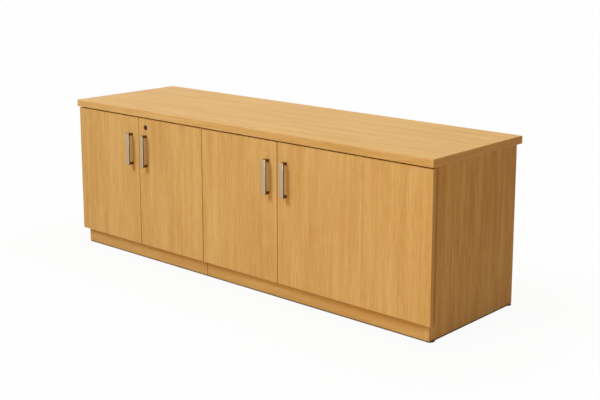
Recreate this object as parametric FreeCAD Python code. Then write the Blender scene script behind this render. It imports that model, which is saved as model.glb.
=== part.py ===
import FreeCAD, Part
import math
import os
from collections import namedtuple
from FreeCAD import Vector

# Office credenza in millimetres: X along its length, +Y towards the wall behind it, +Z up.
# The origin is on the floor under the middle of its box, handles included.
# Two compartments stand side by side, each behind a pair of doors that lie over the carcass.

# Slab top
TOP_LENGTH = 1800.0
TOP_DEPTH = 530.0
TOP_THICKNESS = 28.0
HEIGHT = 612.0
TOP_FRONT_OVERHANG = 7.0          # past the faces of the doors
TOP_SIDE_OVERHANG = 20.5          # past the side panels
TOP_EDGE_RADIUS = 2.0             # rounding of the edge band

# Carcass boards
BOARD = 18.0
GLIDE_HEIGHT = 4.0
BASE_HEIGHT = 58.0                # from the boards' feet to the bottom panels
PARTITION_X = -156.5
BACK_THICKNESS = 8.0
BACK_INSET = 20.0                 # from the rear edges of the side panels
BACK_GROOVE = 6.0
GROOVE_CLEARANCE = 0.2
PLINTH_SETBACK = 1.0              # behind the front edges of the side panels
PLINTH_JOINT = 3.0                # open joint between the two plinth boards

# Doors
DOOR_THICKNESS = 18.0
DOOR_GAP = 3.0                    # between two doors
DOOR_TOP_GAP = 5.0                # under the top
DOOR_STANDOFF = 2.0               # bumper thickness, between a door and the carcass
DOOR_SIDE_OVERHANG = 16.0         # past the side panels
DOOR_EDGE_BEVEL = 0.8
LEFT_PAIR_X = -518.5              # gap between doors 1 and 2
RIGHT_PAIR_X = 229.5              # gap between doors 3 and 4

# Shelves and their pins
SHELF_HEIGHT = 332.0              # underside of each shelf above the floor
SHELF_SETBACK = 25.0              # behind the carcass front
SHELF_SIDE_CLEARANCE = 1.0
SHELF_BACK_CLEARANCE = 2.0
PIN_RADIUS = 2.5
PIN_REACH = 8.0                   # out of the panel, under the shelf
PIN_DEPTH = 8.5                   # into the panel
PIN_HOLE_DEPTH = 9.0
PIN_HOLE_CLEARANCE = 0.1
PIN_PITCH = 32.0
PIN_HOLES_EACH_WAY = 1            # spare holes above and below the one in use
PIN_LINE = 50.0                   # from the shelf's front and rear edges

# Handles: a flat bar on two posts
HANDLE_CENTRES = 118.0
HANDLE_WIDTH = 19.0
HANDLE_BAR_THICKNESS = 6.0
HANDLE_PROJECTION = 26.0
HANDLE_EDGE_BEVEL = 1.0
POST_WIDTH = 12.0
POST_HEIGHT = 9.0
HANDLE_FROM_EDGE = 41.0           # bar centre to the free edge of the door
HANDLE_FROM_TOP = 67.0            # top of the bar to the top of the door
HANDLE_SCREW_RADIUS = 2.0
HANDLE_SCREW_HEAD_RADIUS = 4.0
HANDLE_SCREW_HEAD = 2.4
HANDLE_SCREW_IN_POST = 10.0
SCREW_CLEARANCE = 0.1

# Concealed hinges. Their outlines lie in a plane where u runs from the door's axis along the
# door, v runs from the door's face to the back, and w is the height above the hinge's middle.
HINGE_FROM_END = 96.0
OUTER_AXIS_INSET = 8.0            # door axis to the outer edge of doors 1 and 4
INNER_AXIS_INSET = 3.0            # door axis to the hinge edge of doors 2 and 3
ARM_PIVOT = (32.0, 22.0)          # where the front link turns on the arm
CUP_PIVOT = (27.0, 12.5)          # where the rear link turns in the cup
CUP_CENTRE = 27.5
CUP_RADIUS = 17.4
CUP_WALL = 1.2
CUP_DEPTH = 11.4
CUP_FLOOR = 1.2
CUP_BORE_CLEARANCE = 0.1
CUP_CHEEK = 8.8                   # half the width of the hollow
CUP_FLANGE = 1.3
CUP_FLANGE_RIM = 2.4
EAR_OFFSET = 9.5
EAR_SPREAD = 22.5
EAR_RADIUS = 6.0
EAR_CLIP = 3.5
CUP_PIN_RADIUS = 1.6
ARM_PIN_RADIUS = 1.9
ELBOW_PIN_RADIUS = 1.7
PIVOT_CLEARANCE = 0.05
REAR_LINK_HALF_HEIGHT = 4.6
REAR_LINK_HALF_WIDTH = 3.0
FRONT_LINK_INNER = 5.3
FRONT_LINK_PLATE = 1.2
FRONT_LINK_EYE = 3.8
ARM_SIDE_CLEARANCE = 0.3
ARM_PLATE = 1.2
ARM_NOSE = 4.5
ARM_NOSE_RISE = 8.0               # arm pivot to the outer face of the web
ARM_RISE = 14.0                   # wall to the outer face of the web, on the plate
ARM_WEB_START = 31.5
ARM_CRANK_FRONT = 33.0
ARM_CRANK_BACK = 46.0
ARM_CRANK_SLIP = 6.0
ARM_BACK = 23.0                   # end of the arm, behind the plate's screw line
ARM_FOOT_GAP = 0.5
PLATE_BASE = 2.0
PLATE_LINE = 37.0                 # screw line behind the carcass front
PLATE_SCREW_PITCH = 32.0
PLATE_WING = 7.0                  # from each screw to the plate's edges
PLATE_CLIP = 4.0
PLATE_BODY_FRONT = 12.0           # ahead of the screw line
PLATE_BODY_BACK = 24.0            # behind the screw line
PLATE_BODY_CLEARANCE = 0.2
ARM_SCREW_BACK = 13.0             # arm screw, behind the plate's screw line
ARM_SCREW_RADIUS = 2.0
ARM_SCREW_HEAD_RADIUS = 3.6
ARM_SCREW_HEAD = 1.8
ARM_SCREW_LENGTH = 9.0
SMALL_SCREW_RADIUS = 1.75
SMALL_SCREW_HEAD_RADIUS = 3.5
SMALL_SCREW_HEAD = 1.7
SMALL_SCREW_LENGTH = 10.0
PAN_TAPER = 0.75                  # top of a pan head, as a share of its foot

# Cam lock above the handle of door 2, and the strike under the top
LOCK_FROM_TOP = 36.0
LOCK_BEZEL_RADIUS = 10.0
LOCK_BEZEL = 1.4
LOCK_BARREL_RADIUS = 8.0
LOCK_BARREL_REACH = 5.0           # past the back of the door
LOCK_PLUG_RADIUS = 5.0
LOCK_PLUG_PROUD = 0.4
LOCK_RUNNING_CLEARANCE = 0.06
LOCK_HOLE_CLEARANCE = 0.15
KEYWAY_WIDTH = 1.4
KEYWAY_HEIGHT = 6.0
KEYWAY_DEPTH = 12.0
LOCK_NUT_FLATS = 22.0
LOCK_NUT = 3.0
LOCK_CAM_THICKNESS = 2.5
LOCK_CAM_HALF_WIDTH = 7.0
LOCK_CAM_REACH = 25.0             # lock centre to the middle of the cam's round end
LOCK_CAM_GAP = 1.0
STRIKE_THICKNESS = 1.5
STRIKE_DROP = 22.0
STRIKE_WIDTH = 40.0
STRIKE_DEPTH = 26.0
STRIKE_CAM_GAP = 1.4
STRIKE_SCREW_SPREAD = 12.0

# Joining hardware
CAM_RADIUS = 7.4
CAM_DEPTH = 12.4
CAM_CLEARANCE = 0.1
CAM_FROM_END = 34.0
CAM_SLOT = 2.0
CAM_SLOT_SPAN = 0.6               # of the cam's width
CAM_SLOT_DEPTH = 2.5
CAM_LINE = 70.0                   # from the front and rear edges
BOLT_RADIUS = 3.0
BOLT_BITE = 11.0                  # into the board that the bolt holds
GLIDE_RADIUS = 17.0
GLIDE_TOP_RADIUS = 12.0
GLIDE_RIM = 2.5
GLIDE_STEM_RADIUS = 4.0
GLIDE_STEM = 12.0
GLIDE_FROM_EDGE = 17.0
BUMPER_RADIUS = 4.0
BUMPER_FROM_EDGE = 20.0

# Flat sides of the round pieces
LOCK_SIDES = 16
CUP_SIDES = 12
GLIDE_SIDES = 10
CAM_SIDES = 8
PIVOT_SIDES = 8
SCREW_SIDES = 6

# Levels and planes that follow from the sizes above
TOP_UNDERSIDE = HEIGHT - TOP_THICKNESS
BOTTOM_LEVEL = GLIDE_HEIGHT + BASE_HEIGHT
DOOR_BOTTOM = BOTTOM_LEVEL
DOOR_TOP = TOP_UNDERSIDE - DOOR_TOP_GAP
DOOR_FACE_Y = (HANDLE_PROJECTION + TOP_FRONT_OVERHANG - TOP_DEPTH) / 2
DOOR_BACK_Y = DOOR_FACE_Y + DOOR_THICKNESS
CARCASS_FRONT_Y = DOOR_BACK_Y + DOOR_STANDOFF
TOP_FRONT_Y = DOOR_FACE_Y - TOP_FRONT_OVERHANG
REAR_Y = TOP_FRONT_Y + TOP_DEPTH
BACK_FRONT_Y = REAR_Y - BACK_INSET - BACK_THICKNESS
SIDE_OUTER_X = TOP_LENGTH / 2 - TOP_SIDE_OVERHANG
SIDE_INNER_X = SIDE_OUTER_X - BOARD
DOOR_OUTER_X = SIDE_OUTER_X + DOOR_SIDE_OVERHANG
PARTITION_LEFT_X = PARTITION_X - BOARD / 2
PARTITION_RIGHT_X = PARTITION_X + BOARD / 2
PLINTH_FRONT_Y = CARCASS_FRONT_Y + PLINTH_SETBACK
CARCASS_FRONT_V = DOOR_THICKNESS + DOOR_STANDOFF
PLATE_LINE_V = CARCASS_FRONT_V + PLATE_LINE
ARM_END_V = PLATE_LINE_V + ARM_BACK
ELBOW = (ARM_PIVOT[0] + CUP_PIVOT[0], ARM_PIVOT[1] + CUP_PIVOT[1])
ARM_INNER = FRONT_LINK_INNER + FRONT_LINK_PLATE + ARM_SIDE_CLEARANCE
ARM_OUTER = ARM_INNER + ARM_PLATE

UP = Vector(0, 0, 1)
DOWN = Vector(0, 0, -1)
RIGHT = Vector(1, 0, 0)
LEFT = Vector(-1, 0, 0)
BACKWARD = Vector(0, 1, 0)

# A door's turn is +1 where it hangs on its left edge and -1 where it hangs on its right one.
# Its wall is the distance from its axis to the face of the board that carries its hinges.
Door = namedtuple("Door", "name left right turn inset wall")


def box(x, y, z):
    """A board from three (low, high) pairs."""
    corner = Vector(x[0], y[0], z[0])
    return Part.makeBox(x[1] - x[0], y[1] - y[0], z[1] - z[0], corner)


def polygon(points):
    """A flat face between three or more corners."""
    return Part.Face(Part.makePolygon(points + points[:1]))


def prism(outline, low, high):
    """A closed (x, y) outline raised from one level to another."""
    return polygon([Vector(x, y, low) for x, y in outline]).extrude(Vector(0, 0, high - low))


def ring(radius, sides, centre=(0.0, 0.0)):
    """Corners of a regular polygon that has one side square to X."""
    angles = [math.pi * (2 * step + 1) / sides for step in range(sides)]
    return [(centre[0] + radius * math.cos(angle), centre[1] + radius * math.sin(angle))
            for angle in angles]


def running(radius, sides):
    """Corner radius of a hole whose sides just clear a round of this radius."""
    return radius / math.cos(math.pi / sides)


def rod(radius, sides, centre, low, high):
    """A bar about a vertical line."""
    return prism(ring(radius, sides, centre), low, high)


def frustum(start, end, sides):
    """The part of a turned piece between two (radius, height) pairs."""
    lower = [Vector(x, y, start[1]) for x, y in ring(start[0], sides)]
    upper = [Vector(x, y, end[1]) for x, y in ring(end[0], sides)]
    outlines = [lower, upper]
    for step in range(sides):
        outlines.append([lower[step - 1], lower[step], upper[step], upper[step - 1]])
    return Part.makeSolid(Part.makeShell([polygon(outline) for outline in outlines]))


def turned(outline, sides):
    """A piece about the vertical axis, from (radius, height) pairs in order of height."""
    steps = [pair for pair in zip(outline, outline[1:]) if pair[0][1] != pair[1][1]]
    parts = [frustum(start, end, sides) for start, end in steps]
    return parts[0].multiFuse(parts[1:]).removeSplitter().Solids[0]


def aimed(shape, direction, position):
    """A piece made about the vertical axis, pointed another way and moved to its place."""
    rotation = FreeCAD.Rotation(UP, direction)
    return shape.transformed(FreeCAD.Placement(position, rotation).toMatrix(), True)


def rounded_strap(start, end, radius, low, high):
    """A flat strap whose ends follow rounds centred on two points."""
    heading = math.atan2(end[1] - start[1], end[0] - start[0])
    outline = []
    for centre, facing in ((end, heading), (start, heading + math.pi)):
        for step in range(-2, 3):
            angle = facing + step * math.pi / 4
            outline.append((centre[0] + radius * math.cos(angle),
                            centre[1] + radius * math.sin(angle)))
    return prism(outline, low, high)


def clipped(half_width, half_height, clip):
    """A rectangle without its corners."""
    outline = []
    for x, y in ((1, 1), (-1, 1), (-1, -1), (1, -1)):
        side = (x * half_width, y * (half_height - clip))
        end = (x * (half_width - clip), y * half_height)
        outline += [side, end] if x * y > 0 else [end, side]
    return outline


def border(shape, direction, coordinate):
    """The straight edges that lie in the plane where direction . point = coordinate."""
    edges = []
    for edge in shape.Edges:
        ends = [vertex.Point.dot(direction) for vertex in edge.Vertexes]
        if all(abs(end - coordinate) < 0.01 for end in ends):
            edges.append(edge)
    return edges


def save(node, shapes):
    """Writes one node: a single solid, or a group of separate ones."""
    solids = [solid for shape in shapes for solid in shape.Solids]
    shape = solids[0] if len(solids) == 1 else Part.makeCompound(solids)
    shape.exportStep("parts/" + node + ".step")


# Fasteners and fittings


def small_screw(clearance=0.0):
    """A screw whose flat head lies at height 0 and whose shank points down, or its hole."""
    radius = SMALL_SCREW_RADIUS + clearance
    head_radius = SMALL_SCREW_HEAD_RADIUS + clearance
    return turned([
        (radius, -SMALL_SCREW_LENGTH - clearance),
        (radius, -SMALL_SCREW_HEAD),
        (head_radius, 0),
        (head_radius, clearance),
    ], SCREW_SIDES)


def pan_screw(radius, head_radius, head, length):
    """A screw whose head stands on height 0 and whose shank points down."""
    return turned([
        (radius, -length),
        (radius, 0),
        (head_radius, 0),
        (head_radius * PAN_TAPER, head),
    ], SCREW_SIDES)


def glide():
    """A glide with its foot on the floor and its stem up in the board."""
    foot = turned([
        (GLIDE_RADIUS, 0),
        (GLIDE_RADIUS, GLIDE_RIM),
        (GLIDE_TOP_RADIUS, GLIDE_HEIGHT),
    ], GLIDE_SIDES)
    stem = rod(GLIDE_STEM_RADIUS, SCREW_SIDES, (0, 0), GLIDE_HEIGHT, GLIDE_HEIGHT + GLIDE_STEM)
    return foot.fuse(stem)


def glide_places():
    """Floor points of the glides: two under each upright board."""
    middles = (-SIDE_OUTER_X + BOARD / 2, PARTITION_X, SIDE_OUTER_X - BOARD / 2)
    fronts = (CARCASS_FRONT_Y, PLINTH_FRONT_Y + BOARD, CARCASS_FRONT_Y)
    places = []
    for middle, front in zip(middles, fronts):
        places.append(Vector(middle, front + GLIDE_FROM_EDGE, 0))
        places.append(Vector(middle, REAR_Y - GLIDE_FROM_EDGE, 0))
    return places


def glide_bores():
    top = GLIDE_HEIGHT + GLIDE_STEM + SCREW_CLEARANCE
    bore = rod(GLIDE_STEM_RADIUS + SCREW_CLEARANCE, SCREW_SIDES, (0, 0), 0, top)
    return [aimed(bore, UP, place) for place in glide_places()]


# Cam joints. Each has the point where its bolt crosses from one board into the other, the way
# the bolt goes into the board that it holds, and the way the cam faces.

CamJoint = namedtuple("CamJoint", "crossing bite face")


def cam_joints():
    joints = []
    for y in (CARCASS_FRONT_Y + CAM_LINE, REAR_Y - CAM_LINE):
        uprights = (
            (-SIDE_OUTER_X + BOARD / 2, RIGHT),
            (PARTITION_X, LEFT),
            (SIDE_OUTER_X - BOARD / 2, LEFT),
        )
        for x, face in uprights:
            joints.append(CamJoint(Vector(x, y, TOP_UNDERSIDE), UP, face))
        level = BOTTOM_LEVEL + BOARD / 2
        ends = (
            (-SIDE_INNER_X, LEFT),
            (PARTITION_LEFT_X, RIGHT),
            (PARTITION_RIGHT_X, LEFT),
            (SIDE_INNER_X, RIGHT),
        )
        for x, bite in ends:
            shift = bolt_stagger(x)
            joints.append(CamJoint(Vector(x, y + shift, level), bite, DOWN))
    return joints


def bolt_stagger(x):
    """The bolts that enter the partition from the right stand behind those from the left."""
    return 2 * CAM_RADIUS if x == PARTITION_RIGHT_X else 0.0


def cam_centre(joint):
    """Middle of the cam's face, flush with the board that holds it."""
    return joint.crossing - joint.bite * CAM_FROM_END + joint.face * (BOARD / 2)


def cam(joint, clearance=0.0):
    body = rod(CAM_RADIUS + clearance, CAM_SIDES, (0, 0), -CAM_DEPTH - clearance, 0)
    if not clearance:
        half = CAM_RADIUS * CAM_SLOT_SPAN
        slot = box((-half, half), (-CAM_SLOT / 2, CAM_SLOT / 2), (-CAM_SLOT_DEPTH, 0))
        body = body.cut(slot)
    return aimed(body, joint.face, cam_centre(joint))


def cam_bolt(joint, clearance=0.0):
    """The bolt runs from the rim of the cam, across the joint, into the held board."""
    start = CAM_RADIUS + CAM_CLEARANCE
    end = CAM_FROM_END + BOLT_BITE + clearance
    bolt = rod(BOLT_RADIUS + clearance, SCREW_SIDES, (0, 0), start, end)
    return aimed(bolt, joint.bite, joint.crossing - joint.bite * CAM_FROM_END)


def cam_cuts():
    """All that the cam joints take out of the boards."""
    cuts = []
    for joint in cam_joints():
        cuts.append(cam(joint, CAM_CLEARANCE))
        cuts.append(cam_bolt(joint, CAM_CLEARANCE))
    return cuts


# Doors and what they carry


def all_doors():
    outer_wall = DOOR_SIDE_OVERHANG + BOARD - OUTER_AXIS_INSET
    inner_wall = (BOARD - DOOR_GAP) / 2 - INNER_AXIS_INSET
    half_gap = DOOR_GAP / 2
    return [
        Door("door_1", -DOOR_OUTER_X, LEFT_PAIR_X - half_gap, 1, OUTER_AXIS_INSET, outer_wall),
        Door("door_2", LEFT_PAIR_X + half_gap, PARTITION_X - half_gap, -1, INNER_AXIS_INSET,
             inner_wall),
        Door("door_3", PARTITION_X + half_gap, RIGHT_PAIR_X - half_gap, 1, INNER_AXIS_INSET,
             inner_wall),
        Door("door_4", RIGHT_PAIR_X + half_gap, DOOR_OUTER_X, -1, OUTER_AXIS_INSET, outer_wall),
    ]


def axis_x(door):
    return door.left + door.inset if door.turn > 0 else door.right - door.inset


def from_free_edge(door, distance):
    """X at a distance from the edge where the door opens."""
    return door.right - distance if door.turn > 0 else door.left + distance


def hinge_heights():
    return (DOOR_BOTTOM + HINGE_FROM_END, DOOR_TOP - HINGE_FROM_END)


def at_hinges(door, shape):
    """A hinge piece drawn in u, v and w, set at both hinges of a door."""
    angle = 0 if door.turn > 0 else 180
    pieces = []
    for height in hinge_heights():
        piece = shape.copy()
        piece.rotate(Vector(0, 0, 0), BACKWARD, angle)
        piece.translate(Vector(axis_x(door), DOOR_FACE_Y, height))
        pieces.append(piece)
    return pieces


def cup_hollow():
    """The inside of a hinge cup: round, with two flat cheeks."""
    inner = CUP_RADIUS - CUP_WALL
    floor = DOOR_THICKNESS - CUP_DEPTH + CUP_FLOOR
    top = DOOR_THICKNESS + CUP_FLANGE
    hollow = rod(inner, CUP_SIDES, (0, 0), floor, top)
    hollow = aimed(hollow, BACKWARD, Vector(CUP_CENTRE, 0, 0))
    cheeks = box((CUP_CENTRE - inner, CUP_CENTRE + inner), (floor, top), (-CUP_CHEEK, CUP_CHEEK))
    return hollow.common(cheeks)


def ear_places():
    return [Vector(CUP_CENTRE + EAR_OFFSET, DOOR_THICKNESS + CUP_FLANGE, side * EAR_SPREAD)
            for side in (-1, 1)]


def cup_flange():
    """The cup's rim on the back of the door, with an ear for a screw above and below."""
    rim = rod(CUP_RADIUS + CUP_FLANGE_RIM, CUP_SIDES, (0, 0), 0, CUP_FLANGE)
    ears = prism(clipped(EAR_RADIUS, EAR_SPREAD + EAR_RADIUS, EAR_CLIP), 0, CUP_FLANGE)
    rim = aimed(rim, BACKWARD, Vector(CUP_CENTRE, DOOR_THICKNESS, 0))
    ears = aimed(ears, BACKWARD, Vector(CUP_CENTRE + EAR_OFFSET, DOOR_THICKNESS, 0))
    return rim.fuse(ears)


def hinge_cup():
    cup = rod(CUP_RADIUS, CUP_SIDES, (0, 0), DOOR_THICKNESS - CUP_DEPTH, DOOR_THICKNESS)
    cup = aimed(cup, BACKWARD, Vector(CUP_CENTRE, 0, 0))
    cup = cup.fuse(cup_flange()).cut(cup_hollow())
    for place in ear_places():
        cup = cup.cut(aimed(small_screw(SCREW_CLEARANCE), BACKWARD, place))
    pin_end = CUP_CHEEK + CUP_WALL / 2
    pin = rod(CUP_PIN_RADIUS, PIVOT_SIDES, CUP_PIVOT, -pin_end, pin_end)
    return cup.fuse(pin).removeSplitter()


def eye(radius, centre, half_height):
    """The hole in which a hinge pin turns."""
    return rod(running(radius + PIVOT_CLEARANCE, PIVOT_SIDES), PIVOT_SIDES, centre,
               -half_height, half_height)


def rear_link():
    """The inner link: one eye on the cup's pin, the other on the elbow pin."""
    height = REAR_LINK_HALF_HEIGHT
    link = rounded_strap(CUP_PIVOT, ELBOW, REAR_LINK_HALF_WIDTH, -height, height)
    return link.cut([eye(CUP_PIN_RADIUS, CUP_PIVOT, height), eye(ELBOW_PIN_RADIUS, ELBOW, height)])


def front_link():
    """The outer link: two plates on the arm's pin, joined by the elbow pin."""
    inner = FRONT_LINK_INNER
    outer = inner + FRONT_LINK_PLATE
    upper = rounded_strap(ARM_PIVOT, ELBOW, FRONT_LINK_EYE, inner, outer)
    lower = rounded_strap(ARM_PIVOT, ELBOW, FRONT_LINK_EYE, -outer, -inner)
    pin = rod(ELBOW_PIN_RADIUS, PIVOT_SIDES, ELBOW, -outer, outer)
    plates = upper.fuse(lower).cut(eye(ARM_PIN_RADIUS, ARM_PIVOT, outer))
    return plates.fuse(pin).removeSplitter()


def arm_outline(wall):
    """Side of the arm, from its nose round the pivot, over the crank, to its rear end."""
    u, v = ARM_PIVOT
    web = u + ARM_NOSE_RISE
    foot = wall + PLATE_BASE + ARM_FOOT_GAP
    angles = [math.pi * (1 + step / 4) for step in range(5)]
    nose = [(u + ARM_NOSE * math.cos(angle), v + ARM_NOSE * math.sin(angle)) for angle in angles]
    return nose + [
        (web, ARM_WEB_START),
        (web, ARM_CRANK_FRONT),
        (wall + ARM_RISE, ARM_CRANK_BACK),
        (wall + ARM_RISE, ARM_END_V),
        (foot, ARM_END_V),
        (foot, ARM_CRANK_BACK - ARM_CRANK_SLIP),
        (u - ARM_NOSE, ARM_CRANK_FRONT - ARM_CRANK_SLIP),
    ]


def arm_channel(wall):
    """What is cut from the arm to leave two sides and a web that starts behind the links."""
    u, v = ARM_PIVOT
    web = u + ARM_NOSE_RISE - ARM_PLATE
    rise = wall + ARM_RISE - ARM_PLATE
    below = min(wall, u - ARM_NOSE)
    outline = [
        (below, v - ARM_NOSE),
        (web + ARM_PLATE, v - ARM_NOSE),
        (web + ARM_PLATE, ARM_WEB_START),
        (web, ARM_WEB_START),
        (web, ARM_CRANK_FRONT),
        (rise, ARM_CRANK_BACK),
        (rise, ARM_END_V),
        (below, ARM_END_V),
    ]
    return prism(outline, -ARM_INNER, ARM_INNER)


def arm_screw_place(wall):
    return Vector(wall + ARM_RISE, PLATE_LINE_V + ARM_SCREW_BACK, 0)


def arm_screw_bore(wall):
    bore = rod(ARM_SCREW_RADIUS + SCREW_CLEARANCE, SCREW_SIDES, (0, 0),
               -ARM_SCREW_LENGTH - SCREW_CLEARANCE, 0)
    return aimed(bore, RIGHT, arm_screw_place(wall))


def hinge_arm(wall):
    arm = prism(arm_outline(wall), -ARM_OUTER, ARM_OUTER).cut(arm_channel(wall))
    pin = rod(ARM_PIN_RADIUS, PIVOT_SIDES, ARM_PIVOT, -ARM_OUTER, ARM_OUTER)
    return arm.fuse(pin).cut(arm_screw_bore(wall)).removeSplitter()


def plate_screw_places(wall):
    return [Vector(wall + PLATE_BASE, PLATE_LINE_V, side * PLATE_SCREW_PITCH / 2)
            for side in (-1, 1)]


def hinge_plate(wall):
    """The mounting plate: two screwed wings on the wall and a block that fills the arm."""
    half = ARM_INNER - PLATE_BODY_CLEARANCE
    outline = clipped(PLATE_SCREW_PITCH / 2 + PLATE_WING, PLATE_WING, PLATE_CLIP)
    wings = aimed(prism(outline, 0, PLATE_BASE), RIGHT, Vector(wall, PLATE_LINE_V, 0))
    block = box((wall, wall + ARM_RISE - ARM_PLATE),
                (PLATE_LINE_V - PLATE_BODY_FRONT, PLATE_LINE_V + PLATE_BODY_BACK), (-half, half))
    plate = block.fuse(wings)
    for place in plate_screw_places(wall):
        plate = plate.cut(aimed(small_screw(SCREW_CLEARANCE), RIGHT, place))
    return plate.cut(arm_screw_bore(wall)).removeSplitter()


def wall_screws(wall, clearance=0.0):
    return [aimed(small_screw(clearance), RIGHT, place) for place in plate_screw_places(wall)]


def arm_screw(wall):
    screw = pan_screw(ARM_SCREW_RADIUS, ARM_SCREW_HEAD_RADIUS, ARM_SCREW_HEAD, ARM_SCREW_LENGTH)
    return aimed(screw, RIGHT, arm_screw_place(wall))


def handle_length():
    return HANDLE_CENTRES + POST_HEIGHT


def post_heights():
    upper = DOOR_TOP - HANDLE_FROM_TOP - POST_HEIGHT / 2
    return (upper - HANDLE_CENTRES, upper)


def handle_bar(door):
    x = from_free_edge(door, HANDLE_FROM_EDGE)
    front = DOOR_FACE_Y - HANDLE_PROJECTION
    top = DOOR_TOP - HANDLE_FROM_TOP
    bar = box((x - HANDLE_WIDTH / 2, x + HANDLE_WIDTH / 2), (front, front + HANDLE_BAR_THICKNESS),
              (top - handle_length(), top))
    return bar.makeChamfer(HANDLE_EDGE_BEVEL, border(bar, BACKWARD, front))


def handle_screw_bore(x, height):
    bore = rod(HANDLE_SCREW_RADIUS + SCREW_CLEARANCE, SCREW_SIDES, (0, 0),
               -DOOR_THICKNESS - HANDLE_SCREW_IN_POST - SCREW_CLEARANCE, 0)
    return aimed(bore, BACKWARD, Vector(x, DOOR_BACK_Y, height))


def handle_posts(door):
    x = from_free_edge(door, HANDLE_FROM_EDGE)
    rear = DOOR_FACE_Y - HANDLE_PROJECTION + HANDLE_BAR_THICKNESS
    posts = []
    for height in post_heights():
        post = box((x - POST_WIDTH / 2, x + POST_WIDTH / 2), (rear, DOOR_FACE_Y),
                   (height - POST_HEIGHT / 2, height + POST_HEIGHT / 2))
        posts.append(post.cut(handle_screw_bore(x, height)))
    return posts


def handle_screws(door):
    x = from_free_edge(door, HANDLE_FROM_EDGE)
    screw = pan_screw(HANDLE_SCREW_RADIUS, HANDLE_SCREW_HEAD_RADIUS, HANDLE_SCREW_HEAD,
                      DOOR_THICKNESS + HANDLE_SCREW_IN_POST)
    return [aimed(screw, BACKWARD, Vector(x, DOOR_BACK_Y, height)) for height in post_heights()]


def lock_place(door, y):
    return Vector(from_free_edge(door, HANDLE_FROM_EDGE), y, DOOR_TOP - LOCK_FROM_TOP)


def door_panel(door):
    panel = box((door.left, door.right), (DOOR_FACE_Y, DOOR_BACK_Y), (DOOR_BOTTOM, DOOR_TOP))
    edges = border(panel, BACKWARD, DOOR_FACE_Y) + border(panel, BACKWARD, DOOR_BACK_Y)
    panel = panel.makeChamfer(DOOR_EDGE_BEVEL, edges)
    bore = rod(CUP_RADIUS + CUP_BORE_CLEARANCE, CUP_SIDES, (0, 0),
               DOOR_THICKNESS - CUP_DEPTH - CUP_BORE_CLEARANCE, DOOR_THICKNESS)
    cuts = at_hinges(door, aimed(bore, BACKWARD, Vector(CUP_CENTRE, 0, 0)))
    for place in ear_places():
        cuts += at_hinges(door, aimed(small_screw(SCREW_CLEARANCE), BACKWARD, place))
    x = from_free_edge(door, HANDLE_FROM_EDGE)
    cuts += [handle_screw_bore(x, height) for height in post_heights()]
    if door.name == "door_2":
        hole = rod(LOCK_BARREL_RADIUS + LOCK_HOLE_CLEARANCE, LOCK_SIDES, (0, 0), 0, DOOR_THICKNESS)
        cuts.append(aimed(hole, BACKWARD, lock_place(door, DOOR_FACE_Y)))
    return panel.cut(cuts)


def save_door(door):
    save(door.name + "_panel", [door_panel(door)])
    save(door.name + "_handle_bar", [handle_bar(door)])
    save(door.name + "_handle_posts", handle_posts(door))
    save(door.name + "_handle_screws", handle_screws(door))
    save(door.name + "_hinge_cups", at_hinges(door, hinge_cup()))
    screws = [aimed(small_screw(), BACKWARD, place) for place in ear_places()]
    save(door.name + "_cup_screws", [piece for screw in screws for piece in at_hinges(door, screw)])
    save(door.name + "_front_links", at_hinges(door, front_link()))
    save(door.name + "_rear_links", at_hinges(door, rear_link()))


def save_hinge_mountings(doors):
    """Arms, plates and screws that stay on the carcass."""
    arms = []
    plates = []
    screws = []
    for door in doors:
        arms += at_hinges(door, hinge_arm(door.wall))
        plates += at_hinges(door, hinge_plate(door.wall))
        for screw in wall_screws(door.wall) + [arm_screw(door.wall)]:
            screws += at_hinges(door, screw)
    save("hinge_arms", arms)
    save("hinge_plates", plates)
    save("hinge_screws", screws)


def wall_screw_cuts(doors):
    cuts = []
    for door in doors:
        for screw in wall_screws(door.wall, SCREW_CLEARANCE):
            cuts += at_hinges(door, screw)
    return cuts


# Lock


def lock_housing(door):
    """Bezel on the face of the door and a threaded barrel through it."""
    length = DOOR_THICKNESS + LOCK_BARREL_REACH
    housing = turned([
        (LOCK_BEZEL_RADIUS - LOCK_BEZEL / 2, -LOCK_BEZEL),
        (LOCK_BEZEL_RADIUS, -LOCK_BEZEL / 2),
        (LOCK_BEZEL_RADIUS, 0),
        (LOCK_BARREL_RADIUS, 0),
        (LOCK_BARREL_RADIUS, length),
    ], LOCK_SIDES)
    bore = running(LOCK_PLUG_RADIUS + LOCK_RUNNING_CLEARANCE, LOCK_SIDES)
    housing = housing.cut(rod(bore, LOCK_SIDES, (0, 0), -LOCK_BEZEL, length))
    return aimed(housing, BACKWARD, lock_place(door, DOOR_FACE_Y))


def lock_nut(door):
    nut = rod(running(LOCK_NUT_FLATS / 2, SCREW_SIDES), SCREW_SIDES, (0, 0), 0, LOCK_NUT)
    nut = nut.cut(rod(LOCK_BARREL_RADIUS, LOCK_SIDES, (0, 0), 0, LOCK_NUT))
    return aimed(nut, BACKWARD, lock_place(door, DOOR_BACK_Y))


def cam_front_v():
    return DOOR_THICKNESS + LOCK_BARREL_REACH + LOCK_CAM_GAP


def lock_plug(door):
    """The plug that the key turns, with its keyway, running through to the cam."""
    front = -LOCK_BEZEL - LOCK_PLUG_PROUD
    plug = rod(LOCK_PLUG_RADIUS, LOCK_SIDES, (0, 0), front, cam_front_v())
    keyway = box((-KEYWAY_WIDTH / 2, KEYWAY_WIDTH / 2), (-KEYWAY_HEIGHT / 2, KEYWAY_HEIGHT / 2),
                 (front, KEYWAY_DEPTH))
    return aimed(plug.cut(keyway), BACKWARD, lock_place(door, DOOR_FACE_Y))


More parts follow.
